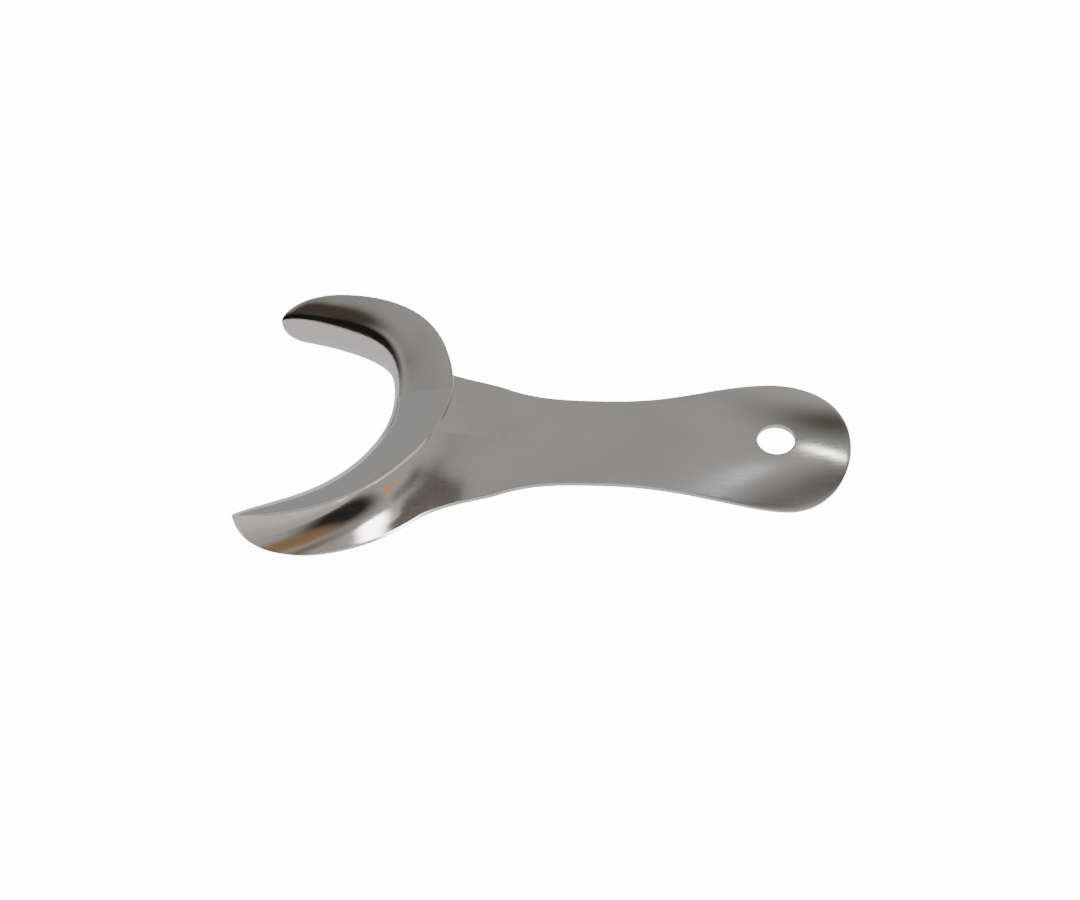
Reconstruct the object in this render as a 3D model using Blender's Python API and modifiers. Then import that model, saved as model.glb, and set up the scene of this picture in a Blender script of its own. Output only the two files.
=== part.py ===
"""Cheek retractor: one stainless steel sheet, pressed into a C-shaped lip trough on a flat handle.

The sheet is drawn in its own drawing frame, in millimetres. +X runs from the C along the handle,
Y = 0 is the plane of symmetry, and z = 0 is the top of the handle's flat waist.
One half is a loft of unlike sections, which Mirror and Solidify make into the whole sheet.
The finished piece is then tilted by REST_TILT and lifted, so that it lies on z = 0 the way it
lies on a table: on the lower edges of its two arms and on the two sides of the handle's end.

Each section of the head runs from the free edge of the upper flange, in to the fold that borders
the C's opening, down the wall, and out to the lower edge or to the neck of the handle.
"""

import math

import bmesh
import bpy
import numpy as np

MM = 0.001

# The sheet
THICKNESS = 1.1

# The head is drawn along a station that runs from the plane of symmetry (0) to an arm's tip (1).
# The fold: the innermost line of the head, which borders the C's opening
THROAT_X = 9.4
OPENING_DEPTH = 30.0
OPENING_POWER = 2.13
HALF_OPENING = 27.5
OPENING_SWELL = 0.47
FOLD_HIGH = 10.0
FOLD_LOW = 7.0
FOLD_DROP_FROM = 0.2
FOLD_DROP_TO = 0.8
# Flange: from the fold to its free edge, widest at the middle of the C and tallest half way along an arm
FLANGE_WIDTH = 13.2
FLANGE_TIP_WIDTH = 5.0
FLANGE_TAPER = 1.4
FLANGE_RISE = 7.7
FLANGE_RISE_DROP = 1.6
FLANGE_ROUND = (9.0, 0.6)
# Wall: its sweep reaches furthest at the middle and least on the arm, and its foot drops to the tip
WALL_REACH = 23.1
WALL_LEAST_REACH = 9.6
WALL_LEAST_AT = 0.75
WALL_FOOT = -1.0
WALL_FOOT_DROP = 4.85
WALL_FOOT_POWER = 2.2
WALL_FULLNESS = 1.1
# The sweep is cut short towards the tip, which rounds the arm's end.
ARM_CUT_START = 0.5
ARM_CUT_POWERS = (1.75, 0.45)
# how far out and up the flange's curve bulges, and how tall the fold's turn is, as shares of the
# flange's width and rise
BULGE_OUT = 0.3
BULGE_UP = 0.85
FOLD_RISE = 0.55
# the last station that is drawn, just short of where the section shrinks to nothing
TIP_STATION = 0.9975
# stations that end on the neck line, and stations that end on the shoulder
NECK_STATION = 0.2
SHOULDER_STATION = 0.4

# Handle: half-widths at the neck, the waist and the widest place, then a rounded end
NECK_X = 33.0
NECK_HALF_WIDTH = 14.5
WAIST_X = 53.0
WAIST_HALF_WIDTH = 11.6
WIDEST_X = 93.0
WIDEST_HALF_WIDTH = 17.3
FLARE_POWER = 1.3
HANDLE_END_X = 107.9
HANDLE_END_POWER = 2.1
# the end's rounding is drawn this far round, where it is within a hair of square
END_TURN = math.radians(82.0)
NECK_SLOPE = -0.42
CROWN_START_X = 63.8
CROWN_HEIGHT = 3.1

# Hanging hole
HOLE_X = 92.1
HOLE_RADIUS = 4.0

# Attitude on a table
REST_TILT = math.radians(1.31)

# Mesh density
NECK_COLUMNS = 6
ARM_STEPS = 22
TIP_CROWDING = 1.9
FLANGE_STEPS = 8
WALL_STEPS = 12
BEND_WEIGHT = 9.0
HANDLE_STEPS = 9
END_STEPS = 7
HOLE_SIDES = 32
PUNCH_LENGTH = 24.0
MERGE_DISTANCE = 0.05

STEEL_COLOUR = (0.56, 0.55, 0.53, 1.0)


def smooth(t):
    """Ease from 0 to 1."""
    t = np.clip(t, 0.0, 1.0)
    return t * t * (3.0 - 2.0 * t)


def fold_line(at):
    """The x, y, z of the fold: x and z are even about the plane of symmetry, and y is odd."""
    away = np.abs(at)
    x = THROAT_X - OPENING_DEPTH * away ** OPENING_POWER
    y = HALF_OPENING * at * (1.0 + OPENING_SWELL * (1.0 - away))
    drop = smooth((away - FOLD_DROP_FROM) / (FOLD_DROP_TO - FOLD_DROP_FROM))
    return np.stack([x, y, FOLD_HIGH - (FOLD_HIGH - FOLD_LOW) * drop], axis=-1)


def flange_width(s):
    """Width of the flange, which narrows towards the tip."""
    return FLANGE_WIDTH - (FLANGE_WIDTH - FLANGE_TIP_WIDTH) * s ** FLANGE_TAPER


def flange_rise(s):
    """Rise of the flange, which is greatest half way along an arm."""
    return FLANGE_RISE - FLANGE_RISE_DROP * (2.0 * s - 1.0) ** 2


def wall_reach(s):
    """Reach of the wall's sweep, which is least on the arm."""
    return WALL_LEAST_REACH + (WALL_REACH - WALL_LEAST_REACH) * (1.0 - s / WALL_LEAST_AT) ** 2


def wall_foot(s):
    """Lowest height of the wall's sweep."""
    return WALL_FOOT - WALL_FOOT_DROP * s ** WALL_FOOT_POWER


def outward(at):
    """Unit vectors in plan, square to the fold and away from the C's opening."""
    step = 1e-4
    along = fold_line(at + step) - fold_line(at - step)
    out = np.stack([along[:, 1], -along[:, 0]], axis=-1)
    return out / np.linalg.norm(out, axis=1, keepdims=True)


def half_width(x):
    """Half the handle's width at x: in from the neck to the waist, out to the widest place, then round."""
    t = np.clip((x - NECK_X) / (WAIST_X - NECK_X), 0.0, 1.0)
    neck = (NECK_HALF_WIDTH + (WAIST_HALF_WIDTH - NECK_HALF_WIDTH) * smooth(t)
            + t * (1.0 - t) ** 2 * (WAIST_X - NECK_X) * NECK_SLOPE)
    flare = np.clip((x - WAIST_X) / (WIDEST_X - WAIST_X), 0.0, 1.0)
    body = neck + (WIDEST_HALF_WIDTH - WAIST_HALF_WIDTH) * smooth(flare ** FLARE_POWER)
    reach = np.clip((x - WIDEST_X) / (HANDLE_END_X - WIDEST_X), 0.0, 1.0)
    return body * (1.0 - reach ** HANDLE_END_POWER) ** (1.0 / HANDLE_END_POWER)


def handle_height(x, y):
    """Height of the handle's top: flat at the waist, crowned across towards its end."""
    t = np.clip((x - CROWN_START_X) / (HANDLE_END_X - CROWN_START_X), 0.0, 1.0)
    return CROWN_HEIGHT * t * t * (3.0 - 2.0 * t) * (1.0 - (y / WIDEST_HALF_WIDTH) ** 2)


def outer_line(s):
    """Where each section of the head ends while it still joins the handle: the neck, then the shoulder."""
    at = SHOULDER_STATION + np.array([0.0, 1e-3])
    arm = fold_line(at)[:, :2] + outward(at) * wall_reach(at)[:, None]
    arm_slope = (arm[1, 1] - arm[0, 1]) / (arm[1, 0] - arm[0, 0])
    neck_x, neck_y = NECK_X, NECK_HALF_WIDTH
    t = np.clip((s - NECK_STATION) / (SHOULDER_STATION - NECK_STATION), 0.0, 1.0)
    run = arm[0, 0] - neck_x
    y = ((1 + 2 * t) * (1 - t) ** 2 * neck_y + t * (1 - t) ** 2 * run * NECK_SLOPE
         + t * t * (3 - 2 * t) * arm[0, 1] - t * t * (1 - t) * run * arm_slope)
    return np.stack([neck_x + run * t, y * np.minimum(s / NECK_STATION, 1.0)], axis=-1)


def resample(lines, count):
    """Spread points along polylines, closer together where they bend."""
    steps = np.diff(lines, axis=1)
    lengths = np.linalg.norm(steps, axis=2)
    ways = steps / np.maximum(lengths, 1e-9)[..., None]
    turns = np.arccos(np.clip((ways[:, 1:] * ways[:, :-1]).sum(axis=2), -1.0, 1.0))
    turns[lengths[:, 1:] < 1e-6] = 0.0
    weights = lengths.copy()
    weights[:, 1:] += BEND_WEIGHT * turns * (lengths.sum(axis=1) / lengths.sum(axis=1).max())[:, None]
    out = []
    for line, weight in zip(lines, weights):
        at = np.concatenate([[0.0], np.cumsum(weight)])
        want = np.linspace(0.0, at[-1], count)
        out.append(np.stack([np.interp(want, at, line[:, k]) for k in range(3)], axis=-1))
    return np.array(out)


def flange_curve(s, fold):
    """Sections of the flange: cubic curves from the free edge to the fold, which they meet upright."""
    rounding = (1.0 - s ** FLANGE_ROUND[0]) ** FLANGE_ROUND[1]
    out = outward(s) * (flange_width(s) * rounding)[:, None]
    rise = (flange_rise(s) * rounding)[:, None]
    edge = (fold + np.concatenate([out, rise], axis=1))[:, None, :]
    bulge = (fold + np.concatenate([out * BULGE_OUT, rise * BULGE_UP], axis=1))[:, None, :]
    lift = (fold + np.concatenate([out * 0.0, rise * FOLD_RISE], axis=1))[:, None, :]
    t = np.linspace(0.0, 1.0, FLANGE_STEPS + 1)[None, :, None]
    return ((1 - t) ** 3 * edge + 3 * t * (1 - t) ** 2 * bulge
            + 3 * t * t * (1 - t) * lift + t ** 3 * fold[:, None, :])


def wall_curve(s, fold):
    """Sections of the wall: part of an ellipse, then flat out to the neck or shoulder."""
    reach, foot, out_way = wall_reach(s), wall_foot(s), outward(s)
    joined = s <= SHOULDER_STATION
    to_outer = outer_line(s) - fold[:, :2]
    full = np.linalg.norm(to_outer, axis=1)
    out_way[joined] = to_outer[joined] / full[joined, None]

    q = np.clip((s - ARM_CUT_START) / (1.0 - ARM_CUT_START), 0.0, 1.0)
    sweep = 0.5 * math.pi * (1.0 - q ** ARM_CUT_POWERS[0]) ** ARM_CUT_POWERS[1]
    angle = sweep[:, None] * np.linspace(0.0, 1.0, 120)[None, :]
    out = reach[:, None] * (1.0 - np.cos(angle)) ** WALL_FULLNESS
    height = fold[:, 2:] - (fold[:, 2] - foot)[:, None] * np.sin(angle)

    share = np.linspace(0.0, 1.0, 21)[None, 1:]
    flat = np.where(joined, np.maximum(full - reach, 0.0), 0.0)[:, None] * share
    neck_share = np.clip(1.0 - (s - NECK_STATION) / (SHOULDER_STATION - NECK_STATION), 0.0, 1.0)
    level = np.repeat(height[:, -1:], share.shape[1], axis=1)
    level += (-THICKNESS - level) * neck_share[:, None] * share
    out = np.concatenate([out, out[:, -1:] + flat], axis=1)
    height = np.concatenate([height, level], axis=1)
    plan = fold[:, None, :2] + out[..., None] * out_way[:, None, :]
    return resample(np.concatenate([plan, height[..., None]], axis=2), WALL_STEPS + 1)


def head_grid():
    """Outer face of half the head: a row of points for each section, from flange edge to lower edge."""
    run = np.linspace(0.0, 1.0, ARM_STEPS + 1)[1:]
    s = np.concatenate([
        np.linspace(0.0, NECK_STATION, NECK_COLUMNS + 1),
        TIP_STATION - (TIP_STATION - NECK_STATION) * (1.0 - run) ** TIP_CROWDING,
    ])
    fold = fold_line(s)
    return np.concatenate([flange_curve(s, fold)[:, :-1], wall_curve(s, fold)], axis=1)


def handle_grid():
    """Underside of half the handle: rows of points from the neck line to the rounded end."""
    body = np.linspace(NECK_X, WIDEST_X, HANDLE_STEPS + 1)
    turn = np.linspace(0.0, END_TURN, END_STEPS + 1)[1:]
    x = np.concatenate([body, WIDEST_X + (HANDLE_END_X - WIDEST_X) * np.sin(turn)])
    share = np.linspace(0.0, 1.0, NECK_COLUMNS + 1)
    y = half_width(x)[:, None] * share[None, :]
    x = np.repeat(x[:, None], NECK_COLUMNS + 1, axis=1)
    return np.stack([x, y, handle_height(x, y) - THICKNESS], axis=-1)


def grid_faces(rows, columns, start):
    """Quads between neighbouring rows of a grid of points."""
    index = start + np.arange(rows * columns).reshape(rows, columns)
    return np.stack([index[:-1, :-1], index[1:, :-1], index[1:, 1:], index[:-1, 1:]], axis=-1).reshape(-1, 4)


def half_sheet():
    """Outer face of half the retractor as one open mesh."""
    head, handle = head_grid(), handle_grid()
    points = np.concatenate([head.reshape(-1, 3), handle.reshape(-1, 3)]) * MM
    faces = np.concatenate([
        grid_faces(*head.shape[:2], 0),
        grid_faces(*handle.shape[:2], head.shape[0] * head.shape[1])[:, ::-1],
    ])
    mesh = bpy.data.meshes.new("retractor_body")
    mesh.from_pydata(points.tolist(), [], faces.tolist())
    model = bmesh.new()
    model.from_mesh(mesh)
    bmesh.ops.remove_doubles(model, verts=model.verts, dist=MERGE_DISTANCE * MM)
    model.to_mesh(mesh)
    model.free()
    return mesh


def steel():
    """Satin stainless steel."""
    material = bpy.data.materials.new("satin_steel")
    material.use_nodes = True
    shader = material.node_tree.nodes["Principled BSDF"]
    shader.inputs["Base Color"].default_value = STEEL_COLOUR
    shader.inputs["Metallic"].default_value = 1.0
    shader.inputs["Roughness"].default_value = 0.32
    return material


def main():
    """Build the retractor and lay it on z = 0."""
    for item in list(bpy.data.objects):
        bpy.data.objects.remove(item, do_unlink=True)
    parts = bpy.data.collections.new("cheek_retractor")
    cutters = bpy.data.collections.new("cutters")
    for collection in (parts, cutters):
        bpy.context.scene.collection.children.link(collection)

    drawing = bpy.data.objects.new("drawing_frame", None)
    drawing.rotation_euler = (0.0, REST_TILT, 0.0)
    parts.objects.link(drawing)

    punch_mesh = bpy.data.meshes.new("hole_punch")
    model = bmesh.new()
    bmesh.ops.create_cone(model, cap_ends=True, segments=HOLE_SIDES, radius1=HOLE_RADIUS * MM,
                          radius2=HOLE_RADIUS * MM, depth=PUNCH_LENGTH * MM)
    model.to_mesh(punch_mesh)
    model.free()
    punch = bpy.data.objects.new("hole_punch", punch_mesh)
    punch.location = (HOLE_X * MM, 0.0, 0.0)
    punch.parent = drawing
    punch.hide_render = True
    punch.display_type = "WIRE"
    cutters.objects.link(punch)

    body = bpy.data.objects.new("retractor_body", half_sheet())
    body.data.materials.append(steel())
    body.parent = drawing
    parts.objects.link(body)

    mirror = body.modifiers.new("other_half", "MIRROR")
    mirror.use_axis = (False, True, False)
    mirror.use_clip = True
    mirror.merge_threshold = MERGE_DISTANCE * MM
    sheet = body.modifiers.new("sheet", "SOLIDIFY")
    sheet.thickness = THICKNESS * MM
    sheet.offset = -1.0
    sheet.use_even_offset = True
    hole = body.modifiers.new("hanging_hole", "BOOLEAN")
    hole.operation = "DIFFERENCE"
    hole.object = punch
    body.data.shade_smooth()

    # Stand the tilted sheet on z = 0, centred on the origin.
    bpy.context.view_layer.update()
    seen = body.evaluated_get(bpy.context.evaluated_depsgraph_get())
    corners = np.array([tuple(seen.matrix_world @ v.co) for v in seen.to_mesh().vertices])
    low, high = corners.min(axis=0), corners.max(axis=0)
    drawing.location = (-0.5 * (low[0] + high[0]), -0.5 * (low[1] + high[1]), -low[2])


if __name__ == "__main__":
    main()
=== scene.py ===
"""Satin steel cheek retractor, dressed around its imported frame.

The retractor is one pressed sheet. Its surface is worked out here as whole numpy arrays in a drawing
frame in millimetres (+X from the C to the handle's end, Y = 0 the plane of symmetry, z = 0 the top of
the handle's waist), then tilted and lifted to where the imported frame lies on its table.
"""
import logging
import math
from dataclasses import dataclass, field
from enum import Enum

import bmesh
import bpy
import numpy as np
from mathutils import Matrix, Vector


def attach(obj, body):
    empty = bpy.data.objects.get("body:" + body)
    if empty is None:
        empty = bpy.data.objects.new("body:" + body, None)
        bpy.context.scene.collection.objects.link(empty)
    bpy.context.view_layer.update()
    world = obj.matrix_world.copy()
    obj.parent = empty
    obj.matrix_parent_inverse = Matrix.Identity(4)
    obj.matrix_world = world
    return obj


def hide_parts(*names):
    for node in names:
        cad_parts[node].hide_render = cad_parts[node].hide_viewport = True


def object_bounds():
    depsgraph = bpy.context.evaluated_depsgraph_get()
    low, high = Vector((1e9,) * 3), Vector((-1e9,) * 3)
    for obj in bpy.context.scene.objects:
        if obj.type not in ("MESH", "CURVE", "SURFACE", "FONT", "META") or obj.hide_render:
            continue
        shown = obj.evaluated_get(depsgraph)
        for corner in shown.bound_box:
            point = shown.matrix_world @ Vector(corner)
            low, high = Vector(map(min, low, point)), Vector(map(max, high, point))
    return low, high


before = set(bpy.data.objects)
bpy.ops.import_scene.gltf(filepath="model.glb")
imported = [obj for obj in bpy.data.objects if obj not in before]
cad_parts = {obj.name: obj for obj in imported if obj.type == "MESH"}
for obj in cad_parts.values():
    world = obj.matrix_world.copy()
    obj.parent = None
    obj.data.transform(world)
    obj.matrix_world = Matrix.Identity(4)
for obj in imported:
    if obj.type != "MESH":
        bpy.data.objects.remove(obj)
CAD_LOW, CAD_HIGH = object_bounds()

log = logging.getLogger("cheek_retractor")
MM = 0.001


# ---------------------------------------------------------------- drawing tools


def smooth(t: np.ndarray) -> np.ndarray:
    """Ease from 0 to 1.

    Args:
        t: share of the way; it is held between 0 and 1.

    Returns:
        The eased share.
    """
    t = np.clip(t, 0.0, 1.0)
    return t * t * (3.0 - 2.0 * t)


def hermite(t: np.ndarray, start: float, start_slope: float, end: float, end_slope: float) -> np.ndarray:
    """Cubic from start to end with the given slopes, at t from 0 to 1.

    Args:
        t: share of the way, from 0 to 1.
        start: value at the start.
        start_slope: slope at the start, per whole way.
        end: value at the end.
        end_slope: slope at the end, per whole way.

    Returns:
        The values on the curve.
    """
    return ((1 + 2 * t) * (1 - t) ** 2 * start + t * (1 - t) ** 2 * start_slope
            + t * t * (3 - 2 * t) * end - t * t * (1 - t) * end_slope)


def spread_by_bend(lines: np.ndarray, count: int, bend_weight: float) -> np.ndarray:
    """Spread points along polylines, closer together where they bend.

    The measure along a line is its length plus bend_weight times the angle that it has turned through,
    and the points stand at equal steps of that measure.

    Args:
        lines: array of lines, points and coordinates.
        count: points wanted on each line.
        bend_weight: length that one radian of bend counts for, on the longest line.

    Returns:
        Array of lines, count points and coordinates.
    """
    steps = np.diff(lines, axis=1)
    lengths = np.linalg.norm(steps, axis=2)
    ways = steps / np.maximum(lengths, 1e-9)[..., None]
    turns = np.arccos(np.clip((ways[:, 1:] * ways[:, :-1]).sum(axis=2), -1.0, 1.0))
    turns[lengths[:, 1:] < 1e-6] = 0.0
    totals = lengths.sum(axis=1)
    weights = lengths.copy()
    weights[:, 1:] += bend_weight * turns * (totals / totals.max())[:, None]
    spread = []
    for line, weight in zip(lines, weights):
        at = np.concatenate([[0.0], np.cumsum(weight)])
        want = np.linspace(0.0, at[-1], count)
        spread.append(np.stack([np.interp(want, at, line[:, k]) for k in range(3)], axis=-1))
    return np.array(spread)


def grid_quads(rows: int, columns: int, start: int, closed: bool = False) -> np.ndarray:
    """Quads between neighbouring rows of a grid of points.

    Args:
        rows: number of rows.
        columns: points in a row.
        start: index of the grid's first point.
        closed: whether each row's last point joins its first.

    Returns:
        Array of quads, four point indices each.
    """
    index = start + np.arange(rows * columns).reshape(rows, columns)
    if closed:
        index = np.concatenate([index, index[:, :1]], axis=1)
    return np.stack([index[:-1, :-1], index[1:, :-1], index[1:, 1:], index[:-1, 1:]], axis=-1).reshape(-1, 4)


# ---------------------------------------------------------------- the sheet


@dataclass
class HeadSizes:
    """The C-shaped head, at stations from the plane of symmetry (0) to an arm's tip (1)."""

    throat_x: float = 9.4
    opening_depth: float = 30.0
    opening_power: float = 2.13
    half_opening: float = 27.5
    opening_swell: float = 0.47
    fold_high: float = 10.0
    fold_low: float = 7.0
    fold_drop_from: float = 0.2
    fold_drop_to: float = 0.8
    flange_width: float = 13.2
    flange_tip_width: float = 5.0
    flange_taper: float = 1.4
    flange_rise: float = 7.7
    flange_rise_drop: float = 1.6
    flange_round: tuple = (9.0, 0.6)
    wall_reach: float = 23.1
    wall_least_reach: float = 9.6
    wall_least_at: float = 0.75
    wall_foot: float = -1.0
    wall_foot_drop: float = 4.85
    wall_foot_power: float = 2.2
    wall_fullness: float = 1.1
    bulge_out: float = 0.3
    bulge_up: float = 0.85
    fold_rise: float = 0.55
    arm_cut_start: float = 0.5
    arm_cut_powers: tuple = (1.75, 0.45)
    neck_station: float = 0.2
    shoulder_station: float = 0.4
    tip_station: float = 0.9975


@dataclass
class HandleSizes:
    """The flat handle: half-widths along it, its rounded end, its crown and its hanging hole."""

    neck_x: float = 33.0
    neck_half: float = 14.5
    waist_x: float = 53.0
    waist_half: float = 11.6
    widest_x: float = 93.0
    widest_half: float = 17.3
    flare_power: float = 1.3
    end_x: float = 107.81
    end_power: float = 2.1
    neck_slope: float = -0.42
    crown_start_x: float = 63.8
    crown_height: float = 3.1
    hole_x: float = 92.1
    hole_radius: float = 4.0
    end_region_x: float = 79.0


@dataclass
class SheetMesh:
    """How finely the sheet is drawn and finished."""

    thickness: float = 1.1
    edge_radius: float = 0.48
    edge_steps: int = 4
    neck_columns: int = 22
    arm_rows: int = 84
    tip_crowding: float = 1.9
    flange_points: int = 26
    wall_points: int = 46
    bend_weight: float = 9.0
    waist_rows: int = 40
    end_turns: int = 120
    end_rings: int = 22
    thin_edge: float = 0.72
    thin_points: float = 7.0
    thin_tip: float = 0.3
    thin_rows: float = 12.0


@dataclass
class Attitude:
    """How the drawing lies on its table."""

    tilt: float = math.radians(1.31)

    def matrix(self, points: np.ndarray) -> Matrix:
        """The move from the drawing, in millimetres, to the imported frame's box, in metres.

        Args:
            points: points of the finished drawing, in millimetres.

        Returns:
            The tilt about Y, then the scale to metres, then the shift onto the frame's box.
        """
        turn = Matrix.Rotation(self.tilt, 4, "Y") @ Matrix.Scale(MM, 4)
        placed = points @ np.array(turn.to_3x3()).T
        low, high = placed.min(axis=0), placed.max(axis=0)
        middle = 0.5 * (CAD_LOW + CAD_HIGH)
        shift = Vector((middle.x - 0.5 * (low[0] + high[0]), middle.y - 0.5 * (low[1] + high[1]),
                        CAD_LOW.z - low[2]))
        return Matrix.Translation(shift) @ turn


@dataclass
class Retractor:
    """The whole sheet: head, handle and hole."""

    head: HeadSizes = field(default_factory=HeadSizes)
    handle: HandleSizes = field(default_factory=HandleSizes)
    mesh: SheetMesh = field(default_factory=SheetMesh)
    attitude: Attitude = field(default_factory=Attitude)

    def fold_line(self, at: np.ndarray) -> np.ndarray:
        """The fold's x, y, z: x and z are even about the plane of symmetry, and y is odd.

        Args:
            at: stations, from 0 at the plane of symmetry to 1 at an arm's tip.

        Returns:
            Points in drawing millimetres.
        """
        head, away = self.head, np.abs(at)
        x = head.throat_x - head.opening_depth * away ** head.opening_power
        y = head.half_opening * at * (1.0 + head.opening_swell * (1.0 - away))
        drop = smooth((away - head.fold_drop_from) / (head.fold_drop_to - head.fold_drop_from))
        return np.stack([x, y, head.fold_high - (head.fold_high - head.fold_low) * drop], axis=-1)

    def wall_reach(self, s: np.ndarray) -> np.ndarray:
        """Reach of the wall's sweep, which is least on the arm.

        Args:
            s: stations.

        Returns:
            Reaches in millimetres.
        """
        head = self.head
        return (head.wall_least_reach
                + (head.wall_reach - head.wall_least_reach) * (1.0 - s / head.wall_least_at) ** 2)

    def outward(self, at: np.ndarray) -> np.ndarray:
        """Unit vectors in plan, square to the fold and away from the C's opening.

        Args:
            at: stations.

        Returns:
            One unit vector for each station.
        """
        step = 1e-4
        along = self.fold_line(at + step) - self.fold_line(at - step)
        out = np.stack([along[:, 1], -along[:, 0]], axis=-1)
        return out / np.linalg.norm(out, axis=1, keepdims=True)

    def half_width(self, x: np.ndarray) -> np.ndarray:
        """Half the handle's width: neck to waist, waist to the widest place, then a superellipse's end.

        Args:
            x: places along the drawing, in millimetres.

        Returns:
            Half-widths in millimetres.
        """
        handle = self.handle
        t = np.clip((x - handle.neck_x) / (handle.waist_x - handle.neck_x), 0.0, 1.0)
        neck = (handle.neck_half + (handle.waist_half - handle.neck_half) * smooth(t)
                + t * (1.0 - t) ** 2 * (handle.waist_x - handle.neck_x) * handle.neck_slope)
        flare = np.clip((x - handle.waist_x) / (handle.widest_x - handle.waist_x), 0.0, 1.0)
        body = neck + (handle.widest_half - handle.waist_half) * smooth(flare ** handle.flare_power)
        reach = np.clip((x - handle.widest_x) / (handle.end_x - handle.widest_x), 0.0, 1.0)
        return body * (1.0 - reach ** handle.end_power) ** (1.0 / handle.end_power)

    def crown(self, x: np.ndarray, y: np.ndarray) -> np.ndarray:
        """Height of the handle's top: nothing at the waist, then a parabola across that grows smoothly.

        Args:
            x: places along the drawing, in millimetres.
            y: places across it, in millimetres.

        Returns:
            Heights in millimetres.
        """
        handle = self.handle
        t = np.clip((x - handle.crown_start_x) / (handle.end_x - handle.crown_start_x), 0.0, 1.0)
        return handle.crown_height * smooth(t) * (1.0 - (y / handle.widest_half) ** 2)

    def half_head(self) -> np.ndarray:
        """Outer face of half the head, one row of points for each section.

        A section is the flange's curve and then the wall's. The wall's is the part of an ellipse from
        upright to level, cut short towards an arm's tip, and then a straight run out to the neck or the
        shoulder.

        Returns:
            Array of sections, points and coordinates, from the plane of symmetry to the tip.
        """
        head, mesh = self.head, self.mesh
        run = np.linspace(0.0, 1.0, mesh.arm_rows + 1)[1:]
        s = np.concatenate([
            np.linspace(0.0, head.neck_station, mesh.neck_columns + 1),
            head.tip_station - (head.tip_station - head.neck_station) * (1.0 - run) ** mesh.tip_crowding,
        ])
        fold = self.fold_line(s)
        return np.concatenate([self.flange_curve(s, fold)[:, :-1], self.wall_curve(s, fold)], axis=1)

    def flange_curve(self, s: np.ndarray, fold: np.ndarray) -> np.ndarray:
        """Cubic curves from the flange's free edge to the fold, which they meet upright.

        The flange's width and rise shrink to nothing at an arm's tip as a superellipse does, which rounds
        the tip off. The control points next to the edge stand out and up by set shares of the two.

        Args:
            s: stations.
            fold: the fold's point at each station.

        Returns:
            Array of stations, points and coordinates.
        """
        head = self.head
        rounding = (1.0 - s ** head.flange_round[0]) ** head.flange_round[1]
        width = head.flange_width - (head.flange_width - head.flange_tip_width) * s ** head.flange_taper
        width = width * rounding
        up = ((head.flange_rise - head.flange_rise_drop * (2.0 * s - 1.0) ** 2) * rounding)[:, None]
        out = self.outward(s) * width[:, None]
        rise = np.concatenate([out, up], axis=1)
        edge = fold + rise
        bulge = fold + np.concatenate([out * head.bulge_out, up * head.bulge_up], axis=1)
        lift = fold + np.concatenate([out * 0.0, up * head.fold_rise], axis=1)
        edge, fold, bulge, lift = (p[:, None, :] for p in (edge, fold, bulge, lift))
        t = np.linspace(0.0, 1.0, self.mesh.flange_points + 1)[None, :, None]
        return ((1 - t) ** 3 * edge + 3 * t * (1 - t) ** 2 * bulge
                + 3 * t * t * (1 - t) * lift + t ** 3 * fold)

    def wall_curve(self, s: np.ndarray, fold: np.ndarray) -> np.ndarray:
        """The wall's elliptic sweep from the fold, with its straight run to the neck or shoulder.

        Args:
            s: stations.
            fold: the fold's point at each station.

        Returns:
            Array of stations, points and coordinates.
        """
        head, handle, mesh = self.head, self.handle, self.mesh
        reach = self.wall_reach(s)
        foot = head.wall_foot - head.wall_foot_drop * s ** head.wall_foot_power
        outward = self.outward(s)

        at = head.shoulder_station + np.array([0.0, 1e-3])
        arm = self.fold_line(at)[:, :2] + self.outward(at) * self.wall_reach(at)[:, None]
        arm_start, arm_way = arm[0], arm[1] - arm[0]
        t = np.clip((s - head.neck_station) / (head.shoulder_station - head.neck_station), 0.0, 1.0)
        neck_x, neck_y = handle.neck_x, handle.neck_half
        span = arm_start[0] - neck_x
        side = hermite(t, neck_y, span * handle.neck_slope, arm_start[1],
                       span * arm_way[1] / arm_way[0])
        outer = np.stack([neck_x + span * t, side * np.minimum(s / head.neck_station, 1.0)], axis=-1)
        joined = s <= head.shoulder_station
        to_outer = outer - fold[:, :2]
        full = np.linalg.norm(to_outer, axis=1)
        outward[joined] = to_outer[joined] / full[joined, None]

        q = np.clip((s - head.arm_cut_start) / (1.0 - head.arm_cut_start), 0.0, 1.0)
        sweep = 0.5 * math.pi * (1.0 - q ** head.arm_cut_powers[0]) ** head.arm_cut_powers[1]
        angle = sweep[:, None] * np.linspace(0.0, 1.0, 400)[None, :]
        out = reach[:, None] * (1.0 - np.cos(angle)) ** head.wall_fullness
        height = fold[:, 2:] - (fold[:, 2] - foot)[:, None] * np.sin(angle)
        share = np.linspace(0.0, 1.0, 41)[None, 1:]
        spare = np.where(joined, np.maximum(full - reach, 0.0), 0.0)[:, None]
        level = np.repeat(height[:, -1:], share.shape[1], axis=1)
        level += (-mesh.thickness - level) * (1.0 - t)[:, None] * share
        out = np.concatenate([out, out[:, -1:] + share * spare], axis=1)
        height = np.concatenate([height, level], axis=1)
        wall = np.concatenate([fold[:, None, :2] + out[..., None] * outward[:, None, :], height[..., None]],
                              axis=2)
        return spread_by_bend(wall, mesh.wall_points + 1, mesh.bend_weight)

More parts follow.
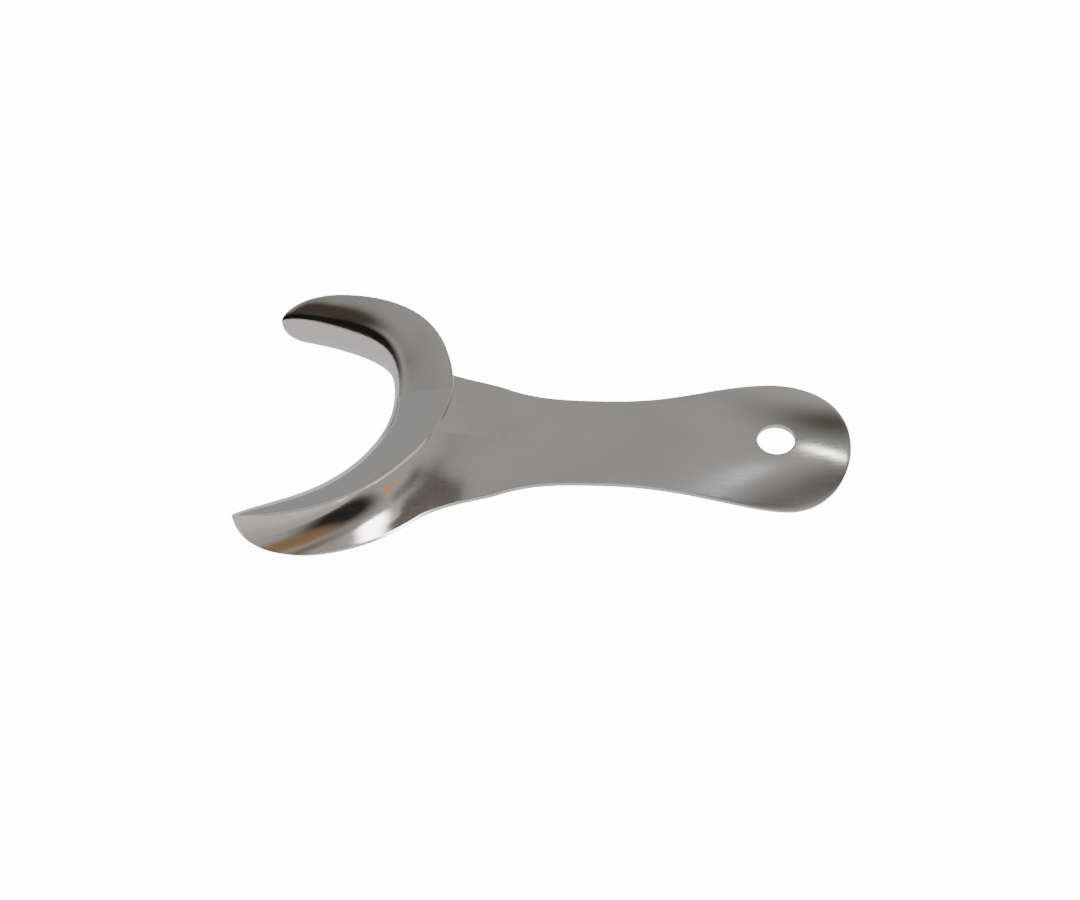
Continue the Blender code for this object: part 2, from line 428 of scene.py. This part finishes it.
    def waist(self) -> np.ndarray:
        """Outer face of the handle from the neck line to where the ring of the end begins.

        Returns:
            Array of rows, points and coordinates.
        """
        handle, mesh = self.handle, self.mesh
        x = np.linspace(handle.neck_x, handle.end_region_x, mesh.waist_rows + 1)
        share = np.linspace(-1.0, 1.0, 2 * mesh.neck_columns + 1)
        y = self.half_width(x)[:, None] * share[None, :]
        x = np.repeat(x[:, None], len(share), axis=1)
        return np.stack([x, y, self.crown(x, y) - mesh.thickness], axis=-1)

    def end(self) -> np.ndarray:
        """Outer face of the handle's end: rings from its outline in to the hanging hole.

        A ring's points stand on straight rays from the hole's centre to the outline, and the rings crowd
        together towards the hole.

        Returns:
            Array of rings, points and coordinates.
        """
        handle, mesh = self.handle, self.mesh
        start = float(self.half_width(np.array([handle.end_region_x]))[0])
        line_y = np.linspace(-start, start, 2 * mesh.neck_columns + 1)
        line = np.stack([np.full_like(line_y, handle.end_region_x), line_y], axis=-1)
        turn = np.linspace(0.0, 0.5 * math.pi, 400)
        widest = handle.widest_x
        x = np.concatenate([np.linspace(handle.end_region_x, widest, 200),
                            widest + (handle.end_x - widest) * np.sin(turn[1:])])
        half = np.stack([x, self.half_width(x)], axis=-1)
        whole = np.concatenate([half, half[-2::-1] * (1.0, -1.0)])
        run = np.concatenate([[0.0], np.cumsum(np.linalg.norm(np.diff(whole, axis=0), axis=1))])
        want = np.linspace(0.0, run[-1], mesh.end_turns + 1)[1:-1]
        around = np.stack([np.interp(want, run, whole[:, k]) for k in range(2)], axis=-1)
        outline = np.concatenate([line, around])
        centre = np.array([handle.hole_x, 0.0])
        ray = outline - centre
        ring = centre + ray / np.linalg.norm(ray, axis=1, keepdims=True) * handle.hole_radius
        t = np.linspace(0.0, 1.0, mesh.end_rings + 1)[:, None, None] ** 0.8
        points = outline[None] + (ring - outline)[None] * t
        z = self.crown(points[..., 0], points[..., 1]) - mesh.thickness
        return np.concatenate([points, z[..., None]], axis=-1)

    def surface(self) -> tuple[np.ndarray, np.ndarray, np.ndarray]:
        """The whole outer face, in drawing millimetres.

        Returns:
            Points, quads, which face away from the metal, and each point's share of full thickness. The
            sheet thins towards the flange's free edge and towards the arms' tips.
        """
        half = self.half_head()
        head = np.concatenate([(half * (1.0, -1.0, 1.0))[:0:-1], half])
        waist, end = self.waist(), self.end()
        points = np.concatenate([grid.reshape(-1, 3) for grid in (head, waist, end)])
        first_waist = head.shape[0] * head.shape[1]
        first_end = first_waist + waist.shape[0] * waist.shape[1]
        quads = np.concatenate([
            grid_quads(*head.shape[:2], 0),
            grid_quads(*waist.shape[:2], first_waist)[:, ::-1],
            grid_quads(*end.shape[:2], first_end, closed=True)[:, ::-1],
        ])
        mesh = self.mesh
        rows, columns = half.shape[:2]
        from_edge = np.interp(np.arange(columns), (0.0, mesh.thin_points), (mesh.thin_edge, 1.0))
        from_tip = np.interp(rows - 1.0 - np.arange(rows), (0.0, mesh.thin_rows), (mesh.thin_tip, 1.0))
        share = from_tip[:, None] * from_edge[None, :]
        shares = np.ones(len(points))
        shares[:first_waist] = np.concatenate([share[:0:-1], share]).ravel()
        return points, quads, shares

    @staticmethod
    def applied(piece: bpy.types.Object) -> bpy.types.Mesh:
        """The piece's mesh with its modifiers applied, which are then cleared.

        Args:
            piece: the object whose modifiers are applied.

        Returns:
            The new mesh.
        """
        bpy.context.view_layer.update()
        solid = piece.evaluated_get(bpy.context.evaluated_depsgraph_get())
        data = bpy.data.meshes.new_from_object(solid)
        data.name = piece.name
        piece.modifiers.clear()
        return data

    def weigh_edges(self, data: bpy.types.Mesh) -> None:
        """Weigh the sheet's sharp edges for rounding: fully on the head, less along the handle.

        Args:
            data: the sheet's mesh, which is changed.
        """
        model = bmesh.new()
        model.from_mesh(data)
        weight = model.edges.layers.float.new("bevel_weight_edge")
        head_end = self.handle.neck_x
        for edge in model.edges:
            if len(edge.link_faces) == 2 and edge.calc_face_angle() > math.radians(50.0):
                x = 0.5 * (edge.verts[0].co.x + edge.verts[1].co.x)
                share = min(max((x - head_end) / 20.0, 0.0), 1.0)
                edge[weight] = 1.0 - 0.6 * share
        model.to_mesh(data)
        model.free()

    def build(self) -> bpy.types.Object:
        """Make the finished sheet: thickened, its edges rounded, and laid on the frame's table.

        Returns:
            The finished object.
        """
        points, quads, shares = self.surface()
        data = bpy.data.meshes.new("polished_sheet")
        data.from_pydata(points.tolist(), [], quads.tolist())
        piece = bpy.data.objects.new("polished_sheet", data)
        bpy.context.scene.collection.objects.link(piece)
        gauge = piece.vertex_groups.new(name="gauge")
        for share in np.unique(shares):
            gauge.add(np.nonzero(shares == share)[0].tolist(), float(share), "REPLACE")
        model = bmesh.new()
        model.from_mesh(data)
        bmesh.ops.remove_doubles(model, verts=model.verts, dist=1e-4)
        model.to_mesh(data)
        model.free()
        thick = piece.modifiers.new("thickness", "SOLIDIFY")
        thick.thickness = self.mesh.thickness
        thick.offset = -1.0
        thick.use_even_offset = True
        thick.vertex_group = gauge.name
        thick.thickness_vertex_group = 0.0
        piece.data = self.applied(piece)
        self.weigh_edges(piece.data)
        edges = piece.modifiers.new("tumbled_edges", "BEVEL")
        edges.width = self.mesh.edge_radius
        edges.segments = self.mesh.edge_steps
        edges.limit_method = "WEIGHT"
        data = self.applied(piece)
        piece.data = data
        coordinates = np.empty(len(data.vertices) * 3)
        data.vertices.foreach_get("co", coordinates)
        place = self.attitude.matrix(coordinates.reshape(-1, 3))
        data.transform(place)
        data.shade_smooth()
        self.place = place
        log.info("sheet: %d faces", len(data.polygons))
        return piece


# ---------------------------------------------------------------- node helpers


class Nodes:
    """Short ways to add and join the nodes of one tree."""

    def __init__(self, tree: bpy.types.NodeTree) -> None:
        """Keep the tree that the nodes go into.

        Args:
            tree: the tree that the nodes go in.
        """
        self.tree = tree

    def add(self, kind: str, **settings: object) -> bpy.types.Node:
        """Add a node and set its properties.

        Args:
            kind: the node's type name.
            settings: properties to set on it.

        Returns:
            The new node.
        """
        node = self.tree.nodes.new(kind)
        for name, value in settings.items():
            setattr(node, name, value)
        return node

    def put(self, socket: bpy.types.NodeSocket, value: object) -> None:
        """Link an output to an input, or set the input's own value.

        Args:
            socket: an input socket.
            value: another socket, which is linked, or a plain value, which is set.
        """
        if isinstance(value, bpy.types.NodeSocket):
            self.tree.links.new(value, socket)
        else:
            socket.default_value = value

    def math(self, operation: str, *values: object, clamp: bool = False) -> bpy.types.NodeSocket:
        """A Math node with the given inputs.

        Args:
            operation: the Math node's operation.
            values: its inputs in order.
            clamp: whether the result is held between 0 and 1.

        Returns:
            The result socket.
        """
        node = self.add("ShaderNodeMath", operation=operation, use_clamp=clamp)
        for socket, value in zip(node.inputs, values):
            self.put(socket, value)
        return node.outputs[0]

    def dot(self, first: object, second: object) -> bpy.types.NodeSocket:
        """The dot product of two vectors.

        Args:
            first: a vector or its socket.
            second: a vector or its socket.

        Returns:
            The result socket.
        """
        node = self.add("ShaderNodeVectorMath", operation="DOT_PRODUCT")
        self.put(node.inputs[0], first)
        self.put(node.inputs[1], second)
        return node.outputs["Value"]

    def remap(self, value: object, low: float, high: float, to_low: object, to_high: object,
              smooth: bool = True) -> bpy.types.NodeSocket:
        """A Map Range node from low..high to to_low..to_high.

        Args:
            value: the value to move.
            low: value that becomes to_low.
            high: value that becomes to_high.
            to_low: result at the low end.
            to_high: result at the high end.
            smooth: whether the ends are eased.

        Returns:
            The result socket.
        """
        node = self.add("ShaderNodeMapRange", interpolation_type="SMOOTHSTEP" if smooth else "LINEAR")
        for socket, number in zip(node.inputs, (value, low, high, to_low, to_high)):
            self.put(socket, number)
        return node.outputs[0]

    def mix(self, mask: object, first: object, second: object, blend: str = "MIX") -> bpy.types.NodeSocket:
        """A colour mix of two colours.

        Args:
            mask: share of the second colour.
            first: a colour or its socket.
            second: a colour or its socket.
            blend: the blend type.

        Returns:
            The result socket.
        """
        node = self.add("ShaderNodeMix", data_type="RGBA", blend_type=blend)
        self.put(node.inputs[0], mask)
        self.put(node.inputs[6], first)
        self.put(node.inputs[7], second)
        return node.outputs[2]


def new_group(name: str, inputs: dict[str, tuple[str, object]], outputs: dict[str, str]
              ) -> tuple[bpy.types.NodeTree, Nodes, bpy.types.Node, bpy.types.Node]:
    """Start a shader node group.

    Args:
        name: the group's name.
        inputs: socket type and default of each named input.
        outputs: socket type of each named output.

    Returns:
        The group, its node helper, its input node and its output node.
    """
    tree = bpy.data.node_groups.new(name, "ShaderNodeTree")
    for label, (kind, default) in inputs.items():
        socket = tree.interface.new_socket(label, in_out="INPUT", socket_type=kind)
        socket.default_value = default
    for label, kind in outputs.items():
        tree.interface.new_socket(label, in_out="OUTPUT", socket_type=kind)
    nodes = Nodes(tree)
    return tree, nodes, nodes.add("NodeGroupInput"), nodes.add("NodeGroupOutput")


# ---------------------------------------------------------------- finish


class Grain(Enum):
    """Where the fine marks of finishing run."""

    ALONG = (90.0, 2600.0, 2600.0)
    LOOSE = (1500.0, 1500.0, 1500.0)


@dataclass(frozen=True)
class SteelFinish:
    """Satin stainless steel. Roughness runs from the polished head to the satin handle.

    Marks are per metre; depths are in metres.
    """

    colour: tuple = (0.632, 0.617, 0.592, 1.0)
    worn_colour: tuple = (0.585, 0.577, 0.562, 1.0)
    polished: float = 0.13
    satin: float = 0.25
    grain_share: float = 0.07
    smudge_share: float = 0.05
    smudge_scale: float = 70.0
    satin_from: tuple = (-0.036, -0.016)
    satin_to: tuple = (0.026, 0.044)
    mark_depth: float = 0.0000016
    mark_strength: float = 0.55


def grain_group() -> bpy.types.NodeTree:
    """Group of finishing marks: fine lines run along the sheet, with loose specks between them.

    Returns:
        The group; its one output runs from 0 to 1.
    """
    tree, nodes, inside, outside = new_group(
        "finishing_marks", {"Vector": ("NodeSocketVector", (0.0, 0.0, 0.0))}, {"Marks": "NodeSocketFloat"})
    layers = []
    for grain in Grain:
        stretched = nodes.add("ShaderNodeVectorMath", operation="MULTIPLY")
        nodes.put(stretched.inputs[0], inside.outputs["Vector"])
        nodes.put(stretched.inputs[1], grain.value)
        noise = nodes.add("ShaderNodeTexNoise")
        nodes.put(noise.inputs["Vector"], stretched.outputs[0])
        nodes.put(noise.inputs["Scale"], 1.0)
        nodes.put(noise.inputs["Detail"], 3.0)
        layers.append(noise.outputs["Fac"])
    both = nodes.math("ADD", nodes.math("MULTIPLY", layers[0], 0.65), nodes.math("MULTIPLY", layers[1], 0.35))
    nodes.put(outside.inputs["Marks"], nodes.remap(both, 0.3, 0.7, 0.0, 1.0))
    return tree


def smudge_group(scale: float) -> bpy.types.NodeTree:
    """Group of wide, faint smudges left by wiping.

    Args:
        scale: smudges per metre.

    Returns:
        The group; its one output runs from 0 to 1.
    """
    tree, nodes, inside, outside = new_group(
        "wiping_smudges", {"Vector": ("NodeSocketVector", (0.0, 0.0, 0.0))}, {"Smudges": "NodeSocketFloat"})
    noise = nodes.add("ShaderNodeTexNoise")
    nodes.put(noise.inputs["Vector"], inside.outputs["Vector"])
    nodes.put(noise.inputs["Scale"], scale)
    nodes.put(noise.inputs["Detail"], 4.0)
    nodes.put(noise.inputs["Distortion"], 0.6)
    nodes.put(outside.inputs["Smudges"], nodes.remap(noise.outputs["Fac"], 0.35, 0.68, 0.0, 1.0))
    return tree


def satin_steel(finish: SteelFinish = SteelFinish()) -> bpy.types.Material:
    """Satin stainless steel with fine marks along the sheet and faint smudges.

    Args:
        finish: colours, roughness and depth of the marks.

    Returns:
        The material.
    """
    material = bpy.data.materials.new("satin_steel")
    material.use_nodes = True
    nodes = Nodes(material.node_tree)
    shader = material.node_tree.nodes["Principled BSDF"]
    shader.inputs["Metallic"].default_value = 1.0
    at = nodes.add("ShaderNodeTexCoord").outputs["Object"]
    marks = nodes.add("ShaderNodeGroup", node_tree=grain_group())
    nodes.put(marks.inputs["Vector"], at)
    smudges = nodes.add("ShaderNodeGroup", node_tree=smudge_group(finish.smudge_scale))
    nodes.put(smudges.inputs["Vector"], at)
    fine, wide = marks.outputs["Marks"], smudges.outputs["Smudges"]
    along = nodes.dot(at, (1.0, 0.0, 0.0))
    satin = nodes.math("MULTIPLY", nodes.remap(along, *finish.satin_from, 0.0, 1.0),
                       nodes.remap(along, *finish.satin_to, 1.0, 0.0))
    satin = nodes.remap(satin, 0.0, 1.0, finish.polished, finish.satin, smooth=False)
    rough = nodes.math("ADD", satin, nodes.math("MULTIPLY", nodes.math("SUBTRACT", fine, 0.5),
                                                finish.grain_share))
    rough = nodes.math("ADD", rough, nodes.math("MULTIPLY", nodes.math("SUBTRACT", wide, 0.5),
                                                finish.smudge_share))
    nodes.put(shader.inputs["Roughness"], rough)
    faded = nodes.math("MULTIPLY", nodes.math("ADD", fine, wide), 0.5)
    nodes.put(shader.inputs["Base Color"], nodes.mix(faded, finish.colour, finish.worn_colour))
    bump = nodes.add("ShaderNodeBump")
    nodes.put(bump.inputs["Strength"], finish.mark_strength)
    nodes.put(bump.inputs["Distance"], finish.mark_depth)
    nodes.put(bump.inputs["Height"], fine)
    nodes.put(shader.inputs["Normal"], bump.outputs["Normal"])
    return material


# ---------------------------------------------------------------- studio


@dataclass
class Camera:
    """The camera, placed about a point of the drawing."""

    azimuth: float = 3.19
    elevation: float = 51.53
    roll: float = -1.07
    distance: float = 246.07
    target: tuple = (40.81, -2.97, 0.0)
    lens: float = 37.5333
    sensor_width: float = 36.0

    def build(self, place: Matrix) -> bpy.types.Object:
        """Put the camera in the scene.

        Args:
            place: the move from the drawing to the scene.

        Returns:
            The camera object.
        """
        a, e, r = (math.radians(v) for v in (self.azimuth, self.elevation, self.roll))
        back = Vector((math.sin(a) * math.cos(e), -math.cos(a) * math.cos(e), math.sin(e)))
        right = Vector((math.cos(a), math.sin(a), 0.0))
        up = back.cross(right)
        right, up = (math.cos(r) * right + math.sin(r) * up, -math.sin(r) * right + math.cos(r) * up)
        turn = Matrix((right, up, back)).transposed()
        spot = Vector(self.target) + back * self.distance
        data = bpy.data.cameras.new("camera")
        data.sensor_width = self.sensor_width
        data.lens = self.lens
        data.clip_start = 0.01
        camera = bpy.data.objects.new("camera", data)
        rotation = (place.to_3x3() * (1.0 / MM) @ turn).to_4x4()
        camera.matrix_world = Matrix.Translation(place @ spot) @ rotation
        bpy.context.scene.collection.objects.link(camera)
        bpy.context.scene.camera = camera
        return camera


@dataclass(frozen=True)
class Card:
    """A soft-edged card or wall of the studio, seen only in its reflections.

    Azimuth is measured from +Y towards +X, and all its numbers are degrees but for the colour, its
    strength and its softness, which is the share of its half sizes over which it fades.
    """

    name: str
    azimuth: float
    elevation: float
    half_across: float
    half_up: float
    colour: tuple
    softness: float = 0.5
    turn: float = 0.0

    def frame(self) -> tuple[Vector, Vector, Vector]:
        """The way to the card's middle, its way across and its way up, over their half sizes.

        Returns:
            The card's middle, across and up directions.
        """
        a, e, r = (math.radians(v) for v in (self.azimuth, self.elevation, self.turn))
        middle = Vector((math.sin(a) * math.cos(e), math.cos(a) * math.cos(e), math.sin(e)))
        across = Vector((math.cos(a), -math.sin(a), 0.0))
        up = across.cross(middle)
        across, up = math.cos(r) * across + math.sin(r) * up, -math.sin(r) * across + math.cos(r) * up
        return (middle, across / math.sin(math.radians(self.half_across)),
                up / math.sin(math.radians(self.half_up)))


CARDS = (
    Card("side_wall", -30.0, 15.0, 34.0, 34.0, (0.45, 0.45, 0.46)),
    Card("back_shade", -42.0, 50.0, 9.0, 9.0, (0.41, 0.40, 0.39), 0.6),
    Card("room_brown", -100.0, 46.0, 30.0, 17.0, (0.085, 0.067, 0.053), 0.4),
    Card("room_dark", -110.0, 9.0, 48.0, 25.0, (0.016, 0.014, 0.012), 0.2),
    Card("front_dark", 148.0, 26.0, 17.0, 34.0, (0.03, 0.027, 0.027), 0.45),
    Card("front_amber", 172.0, 38.0, 10.0, 18.0, (0.36, 0.22, 0.115), 0.5),
    Card("overhead_amber", -163.0, 68.0, 11.0, 9.0, (0.29, 0.22, 0.17), 0.7),
    Card("side_brown", 84.0, 61.0, 8.0, 7.0, (0.17, 0.14, 0.11), 1.0),
    Card("side_amber", 112.5, 41.0, 5.5, 8.0, (0.85, 0.46, 0.24), 0.6),
    Card("back_dim", -14.0, 65.0, 6.0, 5.0, (0.24, 0.24, 0.24), 0.7),
    Card("overhead_shade", 50.0, 72.0, 10.0, 9.0, (0.15, 0.142, 0.136), 0.95),
    Card("back_blue", 22.0, 52.0, 9.0, 6.5, (0.36, 0.365, 0.40), 1.0),
)


@dataclass(frozen=True)
class Panel:
    """A small reflector or flag near the object, seen only in reflections.

    It stands off a spot of the drawing, in a direction given as a card's is, and faces that spot. Its
    distance and half sizes are in millimetres.
    """

    name: str
    spot: tuple
    azimuth: float
    elevation: float
    distance: float
    half_across: float
    half_up: float
    colour: tuple
    softness: float = 0.4
    turn: float = 0.0


PANELS = (
    Panel("streak_light", (102.0, -2.2, 3.0), 22.0, 60.5, 62.0, 13.0, 1.9, (9.5, 10.0, 7.7), 0.2, -14.0),
    Panel("sheen_light", (81.0, -10.0, 1.0), 6.0, 62.0, 70.0, 9.0, 4.0, (1.15, 1.18, 1.32), 0.9, 0.0),
    Panel("corner_flag", (101.0, 7.0, 3.0), 18.0, 40.0, 80.0, 24.0, 17.0, (0.12, 0.115, 0.094), 0.95, 0.0),
)


def card_mask_group() -> bpy.types.NodeTree:
    """Mask of a soft card: one inside an ellipse in the plane square to the card's middle, zero outside.

    Returns:
        The group; its one output is 1 inside a card and 0 outside it.
    """
    tree, nodes, source, result = new_group(
        "card_mask",
        {"Direction": ("NodeSocketVector", (0.0, 0.0, 1.0)), "Middle": ("NodeSocketVector", (0.0, 0.0, 1.0)),
         "Across": ("NodeSocketVector", (1.0, 0.0, 0.0)), "Up": ("NodeSocketVector", (0.0, 1.0, 0.0)),
         "Softness": ("NodeSocketFloat", 0.5)},
        {"Mask": "NodeSocketFloat"})
    way = source.outputs["Direction"]
    across = nodes.dot(way, source.outputs["Across"])
    up = nodes.dot(way, source.outputs["Up"])
    reach = nodes.math("SQRT", nodes.math("ADD", nodes.math("MULTIPLY", across, across),
                                          nodes.math("MULTIPLY", up, up)))
    inner = nodes.math("SUBTRACT", 1.0, source.outputs["Softness"])
    outer = nodes.math("ADD", 1.0, source.outputs["Softness"])
    fade = nodes.remap(reach, inner, outer, 1.0, 0.0)
    ahead = nodes.math("GREATER_THAN", nodes.dot(way, source.outputs["Middle"]), 0.0)
    nodes.put(result.inputs["Mask"], nodes.math("MULTIPLY", fade, ahead))
    return tree


@dataclass
class Studio:
    """Light table and soft surroundings."""

    sky: tuple = (0.545, 0.53, 0.50, 1.0)
    table_glow: float = 0.62
    table_white: float = 14.0
    half_floor: float = 1.6
    front_glow: float = 0.30
    front_band: tuple = (-50.0, -34.0)
    hot_spot: tuple = (-27.0, -30.0)
    hot_radius: float = 6.5
    hot_glow: float = 22.0

    def surroundings(self) -> None:
        """The world: an even warm grey, with the cards laid over it one after another."""
        world = bpy.data.worlds.new("studio")
        bpy.context.scene.world = world
        world.use_nodes = True
        nodes = Nodes(world.node_tree)
        way = nodes.add("ShaderNodeTexCoord").outputs["Generated"]
        group = card_mask_group()
        colour: object = self.sky
        for card in CARDS:
            mask = nodes.add("ShaderNodeGroup", node_tree=group, label=card.name)
            middle, across, up = card.frame()
            nodes.put(mask.inputs["Direction"], way)
            for label, value in (("Middle", middle), ("Across", across), ("Up", up)):
                mask.inputs[label].default_value = value
            mask.inputs["Softness"].default_value = card.softness
            colour = nodes.mix(mask.outputs["Mask"], colour, (*card.colour, 1.0))
        background = world.node_tree.nodes["Background"]
        nodes.put(background.inputs["Color"], colour)

    def floor(self) -> bpy.types.Object:
        """A pale light table: it glows softly under the object and looks white to the camera.

        Returns:
            The table object.
        """
        half = self.half_floor
        data = bpy.data.meshes.new("light_table")
        data.from_pydata([(-half, -half, 0), (half, -half, 0), (half, half, 0), (-half, half, 0)], [],
                         [(0, 1, 2, 3)])
        floor = bpy.data.objects.new("light_table", data)
        bpy.context.scene.collection.objects.link(floor)
        material = bpy.data.materials.new("light_table")
        material.use_nodes = True
        nodes = Nodes(material.node_tree)
        shader = material.node_tree.nodes["Principled BSDF"]
        shader.inputs["Base Color"].default_value = (0.86, 0.86, 0.89, 1.0)
        shader.inputs["Roughness"].default_value = 0.7
        shader.inputs["Emission Color"].default_value = (0.97, 0.97, 1.0, 1.0)
        at = nodes.add("ShaderNodeTexCoord").outputs["Object"]
        front = nodes.remap(nodes.dot(at, (0.0, 1.0 / MM, 0.0)), *self.front_band, self.front_glow,
                            self.table_glow)
        away = nodes.add("ShaderNodeVectorMath", operation="DISTANCE")
        nodes.put(away.inputs[0], at)
        nodes.put(away.inputs[1], (self.hot_spot[0] * MM, self.hot_spot[1] * MM, 0.0))
        hot = nodes.remap(away.outputs["Value"], 0.5 * self.hot_radius * MM, 1.5 * self.hot_radius * MM,
                          self.hot_glow, 0.0)
        glow = nodes.math("ADD", front, hot)
        seen = nodes.add("ShaderNodeLightPath").outputs["Is Camera Ray"]
        nodes.put(shader.inputs["Emission Strength"], nodes.remap(seen, 0.0, 1.0, glow, self.table_white,
                                                                   smooth=False))
        data.materials.append(material)
        return floor

    def panel(self, panel: Panel, place: Matrix) -> bpy.types.Object:
        """Stand one panel by its spot: an ellipse of even light that fades out at its rim.

        Args:
            panel: the panel to stand.
            place: the move from the drawing to the scene.

        Returns:
            The panel object.
        """
        azimuth, elevation = math.radians(panel.azimuth), math.radians(panel.elevation)
        way = Vector((math.sin(azimuth) * math.cos(elevation), math.cos(azimuth) * math.cos(elevation),
                      math.sin(elevation)))
        across = Vector((math.cos(azimuth), -math.sin(azimuth), 0.0))
        facing = Matrix((across, across.cross(way) * -1.0, way)).transposed().to_4x4()
        reach = 1.0 + panel.softness
        data = bpy.data.meshes.new(panel.name)
        corners = np.array([(-1, -1, 0), (1, -1, 0), (1, 1, 0), (-1, 1, 0)], float) * reach
        data.from_pydata((corners * (panel.half_across, panel.half_up, 0.0) * MM).tolist(), [],
                         [(0, 1, 2, 3)])
        item = bpy.data.objects.new(panel.name, data)
        item.matrix_world = (Matrix.Translation(place @ Vector(panel.spot) + way * panel.distance * MM)
                             @ facing @ Matrix.Rotation(math.radians(panel.turn), 4, "Z"))
        bpy.context.scene.collection.objects.link(item)
        item.visible_camera = False
        item.visible_diffuse = False
        item.visible_shadow = False
        data.materials.append(self.panel_light(panel))
        return item

    def panel_light(self, panel: Panel) -> bpy.types.Material:
        """The panel's light: emission inside its ellipse, clear outside.

        Args:
            panel: the panel that is lit.

        Returns:
            The material.
        """
        material = bpy.data.materials.new(panel.name)
        material.use_nodes = True
        nodes = Nodes(material.node_tree)
        material.node_tree.nodes.clear()
        at = nodes.add("ShaderNodeTexCoord").outputs["Object"]
        across = nodes.dot(at, (1.0 / (panel.half_across * MM), 0.0, 0.0))
        up = nodes.dot(at, (0.0, 1.0 / (panel.half_up * MM), 0.0))
        reach = nodes.math("SQRT", nodes.math("ADD", nodes.math("MULTIPLY", across, across),
                                              nodes.math("MULTIPLY", up, up)))
        mask = nodes.remap(reach, 1.0 - panel.softness, 1.0 + panel.softness, 1.0, 0.0)
        light = nodes.add("ShaderNodeEmission")
        nodes.put(light.inputs["Color"], (*panel.colour, 1.0))
        mixed = nodes.add("ShaderNodeMixShader")
        nodes.put(mixed.inputs[0], mask)
        nodes.put(mixed.inputs[1], nodes.add("ShaderNodeBsdfTransparent").outputs[0])
        nodes.put(mixed.inputs[2], light.outputs[0])
        nodes.put(nodes.add("ShaderNodeOutputMaterial").inputs["Surface"], mixed.outputs[0])
        return material

    def build(self, place: Matrix) -> None:
        """Set up the surroundings, the panels and the floor.

        Args:
            place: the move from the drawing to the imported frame.
        """
        self.surroundings()
        for panel in PANELS:
            self.panel(panel, place)
        self.floor()


def main() -> None:
    """Build the retractor and its studio."""
    logging.basicConfig(level=logging.INFO, format="%(message)s")
    retractor = Retractor()
    sheet = retractor.build()
    sheet.data.materials.clear()
    sheet.data.materials.append(satin_steel())
    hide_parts("retractor_body")
    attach(sheet, "root")
    Camera().build(retractor.place)
    Studio().build(retractor.place)


if __name__ == "__main__":
    main()
